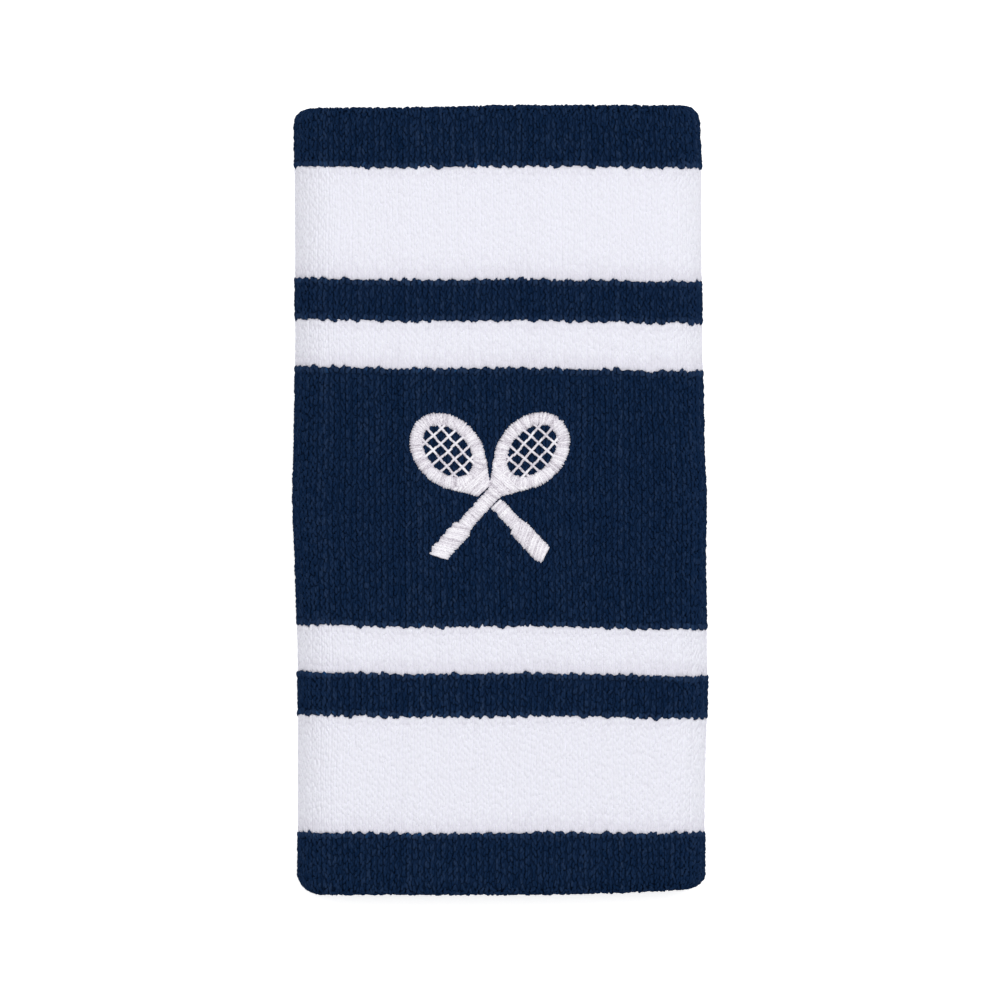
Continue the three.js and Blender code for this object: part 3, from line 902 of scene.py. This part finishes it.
def stitches(start, end, lean, top, radius, rings=11):
    """Thread arcs from start to end on a racket, count x rings x sides x 3, and their twist."""
    count = len(start)
    start = start + rng.normal(0, STITCH_SCATTER, start.shape)
    end = end + rng.normal(0, STITCH_SCATTER, end.shape)
    t = np.concatenate([[0.0], np.linspace(STITCH_DIVE, 1 - STITCH_DIVE, rings - 2), [1.0]])
    a, way = (start[:, None, k] + t * (end - start)[:, None, k] for k in (0, 1))
    crown = (1 - np.abs(2 * t - 1) ** 3) * rng.uniform(*CROWN_SPREAD, (count, 1))
    z = STITCH_SIDE + (top - STITCH_SIDE) * crown
    z[:, 0] = z[:, -1] = STITCH_FOOT
    x, y = on_band(a, way, lean)
    thick = radius * np.ones(z.shape)
    return sweep(np.stack([x, y, z], axis=-1), thick, squash=0.1, turns=1.2, sides=8)


def stitched_piece(name, node, start, end, lean, top, radius):
    """Makes one piece of threads from start to end.

    top, of the thread's middle, and radius are single numbers or count x 1 arrays.
    """
    shapes, twist = stitches(start, end, lean, top, radius)
    build = Build()
    add_tubes(build, outline_warp(shapes), rng.uniform(0, 1, len(start)), twist)
    finish_piece(build.object(name), THREAD, "embroidery_thread", node)


def racket_piece(name, node, lean):
    """The satin stitches of a racket that lie over its CAD node, and the padding under them."""
    tree = tree_of([node])
    start, end = racket_stitches()
    middle = (start + end) / 2
    x, y = on_band(middle[:, 0], middle[:, 1], lean)
    kept = np.array([under_ray(tree, *spot) for spot in zip(x, y)])
    start, end = start[kept], end[kept]
    inset = UNDERLAY_INSET * (end - start) / np.linalg.norm(end - start, axis=1, keepdims=True)
    under = np.arange(2 * len(start))[:, None] >= len(start)
    top = np.where(under, STITCH_TOP - UNDERLAY_DROP, STITCH_TOP)
    radius = np.where(under, UNDERLAY_RADIUS, THREAD_RADIUS)
    start, end = np.concatenate([start, start + inset]), np.concatenate([end, end - inset])
    stitched_piece(name, node, start, end, lean, top, radius)


def string_ends(offset, half_beside, half_along, cuts):
    """Where the stitches of a string start and end along it, reaching under the rim.

    The head's opening is twice half_along long where the string runs through its middle, and
    twice half_beside long the other way.
    """
    half = half_along * sqrt(1 - (offset / half_beside) ** 2) + STRING_REACH
    places = np.array([-half, *(cut * STRING_PITCH for cut in cuts), half])
    return places[:-1], places[1:]


def string_piece(name, node, lean):
    """The strings of a head: run stitches from crossing to crossing."""
    starts, ends = [], []
    for i in STRING_PLACES:
        offset = i * STRING_PITCH
        crosswise = string_ends(offset, BED_HALF_LENGTH, BED_HALF_WIDTH, CROSSWISE_CUTS)
        for places, found in zip((starts, ends), crosswise):
            places += [(c, HEAD_CENTRE + offset) for c in found]
        if abs(offset) < BED_HALF_WIDTH:
            lengthwise = string_ends(offset, BED_HALF_WIDTH, BED_HALF_LENGTH, LENGTHWISE_CUTS)
            for places, found in zip((starts, ends), lengthwise):
                places += [(offset, HEAD_CENTRE + c) for c in found]
    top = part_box(node)[1].z - STRING_DROP
    stitched_piece(name, node, np.array(starts), np.array(ends), lean, top, STRING_RADIUS)


SATIN_TREE = tree_of(EMBLEM_NODES)
STRING_TREE = tree_of(STRING_NODES)
PRESS_REACH = 0.28 * MM                          # how far beside its threads the emblem presses
PRESSED = 0.8                                    # how much of their height loops keep there
EMBLEM_REACH = 15 * MM                           # nothing of the emblem lies further out


def under_emblem(s, v, side):
    """How much of their height the centre band's loops keep under and beside the stitches."""
    keep = np.ones(len(s))
    x, y = s - FLAT_HALF, side * v
    beside = (abs(x - EMBLEM_X) < EMBLEM_REACH) & (abs(y - EMBLEM_Y) < EMBLEM_REACH)
    ring = [(0, 0), (PRESS_REACH, 0), (-PRESS_REACH, 0), (0, PRESS_REACH), (0, -PRESS_REACH)]
    for k in np.flatnonzero(beside & (s < 2 * FLAT_HALF)):
        near = [(x[k] + dx, y[k] + dy) for dx, dy in ring]
        if under_ray(SATIN_TREE, *near[0]):
            keep[k] = 0
        elif any(under_ray(tree, *spot) for tree in (SATIN_TREE, STRING_TREE) for spot in near):
            keep[k] = PRESSED
    return keep


for stitched, node, lean in (
    ("racket_over_stitches", "emblem_racket_over", RACKET_TILT),
    ("racket_under_head_stitches", "emblem_racket_under_head", -RACKET_TILT),
    ("racket_under_grip_stitches", "emblem_racket_under_grip", -RACKET_TILT),
):
    racket_piece(stitched, node, lean)
string_piece("strings_over_stitches", "emblem_strings_over", RACKET_TILT)
string_piece("strings_under_stitches", "emblem_strings_under", -RACKET_TILT)

# ---------- the stripes and the lining ----------

SEAM_MIDDLE = INNER_START + STRAIGHT             # where the two raw ends meet, along the wall
HEM_INSIDE_END = SEAM_MIDDLE - LINING_END
LINING_YARN = 0.4 * MM

for node, yarn in STRIPES:
    low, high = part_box(node)
    start, end, side = low.y - STRIPE_GAP, high.y + STRIPE_GAP, 1
    if node.startswith("hem"):
        side = 1 if high.y > 0 else -1
        start, end = min(abs(low.y), abs(high.y)) - STRIPE_GAP, HEM_INSIDE_END
    pressed = under_emblem if node.startswith("centre") else None
    piece = terry(node.replace("_band", "_terry"), side, start, end, yarn, pressed=pressed)
    finish_piece(piece, YARN_MATERIAL[yarn], yarn + "_terry", node)

for node, side in (("lining_pile_upper", 1), ("lining_pile_lower", -1)):
    piece = terry(node.replace("pile", "terry"), side, HEM_INSIDE_END, SEAM_MIDDLE - SEAM_CLEAR,
                  "navy", strands=2, rings=5, radius=LINING_YARN)
    finish_piece(piece, NAVY, "navy_terry", node)

# ---------- the closing seam ----------

SEAM_PITCH = 1.5 * MM                            # from stitch to stitch around the band
SEAM_THREAD = 0.2 * MM
SEAM_DEPTH = 3.72 * MM                           # of the knit that the stitches lie on
SEAM_CROWN = 0.32 * MM
SEAM_SINK = 0.1 * MM                             # of a stitch's ends into that knit
SEAM_KNIT = (-0.06 * MM, 0.12 * MM)              # that knit's wall side and open side, from there
SEAM_TONE = 0.3
# The share of a pitch that the threads over the raw ends go forwards and back.
FORWARD, BACK = 0.6, 0.4


def seam_arcs(s_from, s_to, y_from, y_to, up, rings=7):
    """Stitches over the raw ends, as tubes that bow towards the opening, and their twist."""
    t = np.linspace(0, 1, rings)
    s = s_from[:, None] + t * (s_to - s_from)[:, None]
    y = y_from[:, None] + t * (y_to - y_from)[:, None]
    depth = SEAM_DEPTH - SEAM_SINK + SEAM_CROWN * (1 - (2 * t - 1) ** 4) * np.ones(s.shape)
    x, z = around(s, depth)
    thick = np.full(s.shape, SEAM_THREAD)
    return sweep(np.stack([x, y, z], axis=-1), thick, squash=0.1, up=up)


def add_seam_knit(build, half, columns):
    """The closed knit under the seam's stitches: a thin ring around the tube."""
    s = np.arange(columns) * PERIMETER / columns
    wall_side, open_side = SEAM_KNIT
    depth = SEAM_DEPTH + np.array([open_side, open_side, wall_side, wall_side])
    x, z = around(*np.broadcast_arrays(s[:, None], depth))
    y = np.broadcast_to([-half, half, half, -half], x.shape)
    ring = outline_warp(np.stack([x, y, z], axis=-1))
    add_loft(build, ring, (1, BASE_UV - UV_GAP), SEAM_TONE)


def closing_seam():
    """Overlock stitches that hold the two raw ends together on the lining side."""
    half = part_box("closing_seam_thread")[1].y - SEAM_THREAD
    count = round(PERIMETER / SEAM_PITCH)
    ahead = PERIMETER / count
    s = np.arange(count) * ahead
    edge = np.full(count, half)
    runs = [
        seam_arcs(s, s + FORWARD * ahead, -edge, edge, (0, 0, 1)),
        seam_arcs(s, s - BACK * ahead, -edge, edge, (0, 0, 1)),
        seam_arcs(s, s + ahead, edge, edge, (0, 1, 0)),
        seam_arcs(s, s + ahead, -edge, -edge, (0, 1, 0)),
    ]
    shapes, twist = (np.concatenate(parts) for parts in zip(*runs))
    tone = rng.uniform(0, 1, len(shapes))
    build = Build()
    add_tubes(build, outline_warp(shapes), tone, twist, lowest=BASE_UV)
    add_seam_knit(build, half, columns=4 * count)
    return build.object("closing_seam_stitches")


finish_piece(closing_seam(), NAVY, "ground_knit", "closing_seam_thread")

# ---------- the parts inside the wall ----------

def coat(node, material):
    """Gives a CAD node that stays its finished material."""
    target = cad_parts[node]
    target.data.materials.clear()
    target.data.materials.append(material)


coat("ground_knit_tube", ground_knit())
coat("elastic_yarn", covered_elastic())
coat("embroidery_backing", tear_away())
coat("bobbin_thread", bobbin())

# ---------- floor, light and camera ----------

FLOOR_SIZE = 8.0
FLOOR_TONE = 0.93
FLOOR_GLOW = 0.56                                # keeps it as pale as the photograph's background
AMBIENT = 0.37
LENS = 900
SENSOR = 36
VIEW_WIDTH = 160.4 * MM                          # what the camera sees at half the band's height


def stage():
    corner = FLOOR_SIZE / 2
    vertices = [(x * corner, y * corner, 0) for x, y in ((-1, -1), (1, -1), (1, 1), (-1, 1))]
    floor = mesh_object("floor", np.array(vertices, float), np.array([[0, 1, 2, 3]]), smooth=False)
    m = Nodes("floor")
    floor.data.materials.append(m.finish(
        Base_Color=(FLOOR_TONE, FLOOR_TONE, FLOOR_TONE, 1), Roughness=0.9, Specular_IOR_Level=0.0,
        Emission_Color=(1, 1, 1, 1), Emission_Strength=FLOOR_GLOW))


def light(name, size, power, place_at, aim=(0, 0, 0)):
    data = bpy.data.lights.new(name, "AREA")
    data.shape = "SQUARE"
    data.size = size
    data.energy = power
    lamp = bpy.data.objects.new(name, data)
    lamp.location = place_at
    lamp.rotation_euler = (Vector(aim) - Vector(place_at)).to_track_quat("-Z", "Y").to_euler()
    lamp.visible_camera = False
    bpy.context.scene.collection.objects.link(lamp)


def surroundings():
    world = bpy.data.worlds.new("studio")
    world.use_nodes = True
    background = world.node_tree.nodes["Background"]
    background.inputs["Color"].default_value = (1, 1, 1, 1)
    background.inputs["Strength"].default_value = AMBIENT
    bpy.context.scene.world = world
    bpy.context.scene.view_settings.view_transform = "Standard"


def camera():
    data = bpy.data.cameras.new("camera")
    data.lens = LENS
    data.sensor_width = SENSOR
    data.clip_end = 10
    eye = bpy.data.objects.new("camera", data)
    eye.location = (0, 0, RADIUS + VIEW_WIDTH * LENS / SENSOR)
    bpy.context.scene.collection.objects.link(eye)
    bpy.context.scene.camera = eye


stage()
surroundings()
light("key", size=0.7, power=6.3, place_at=(0.07, 0.14, 0.85))
camera()
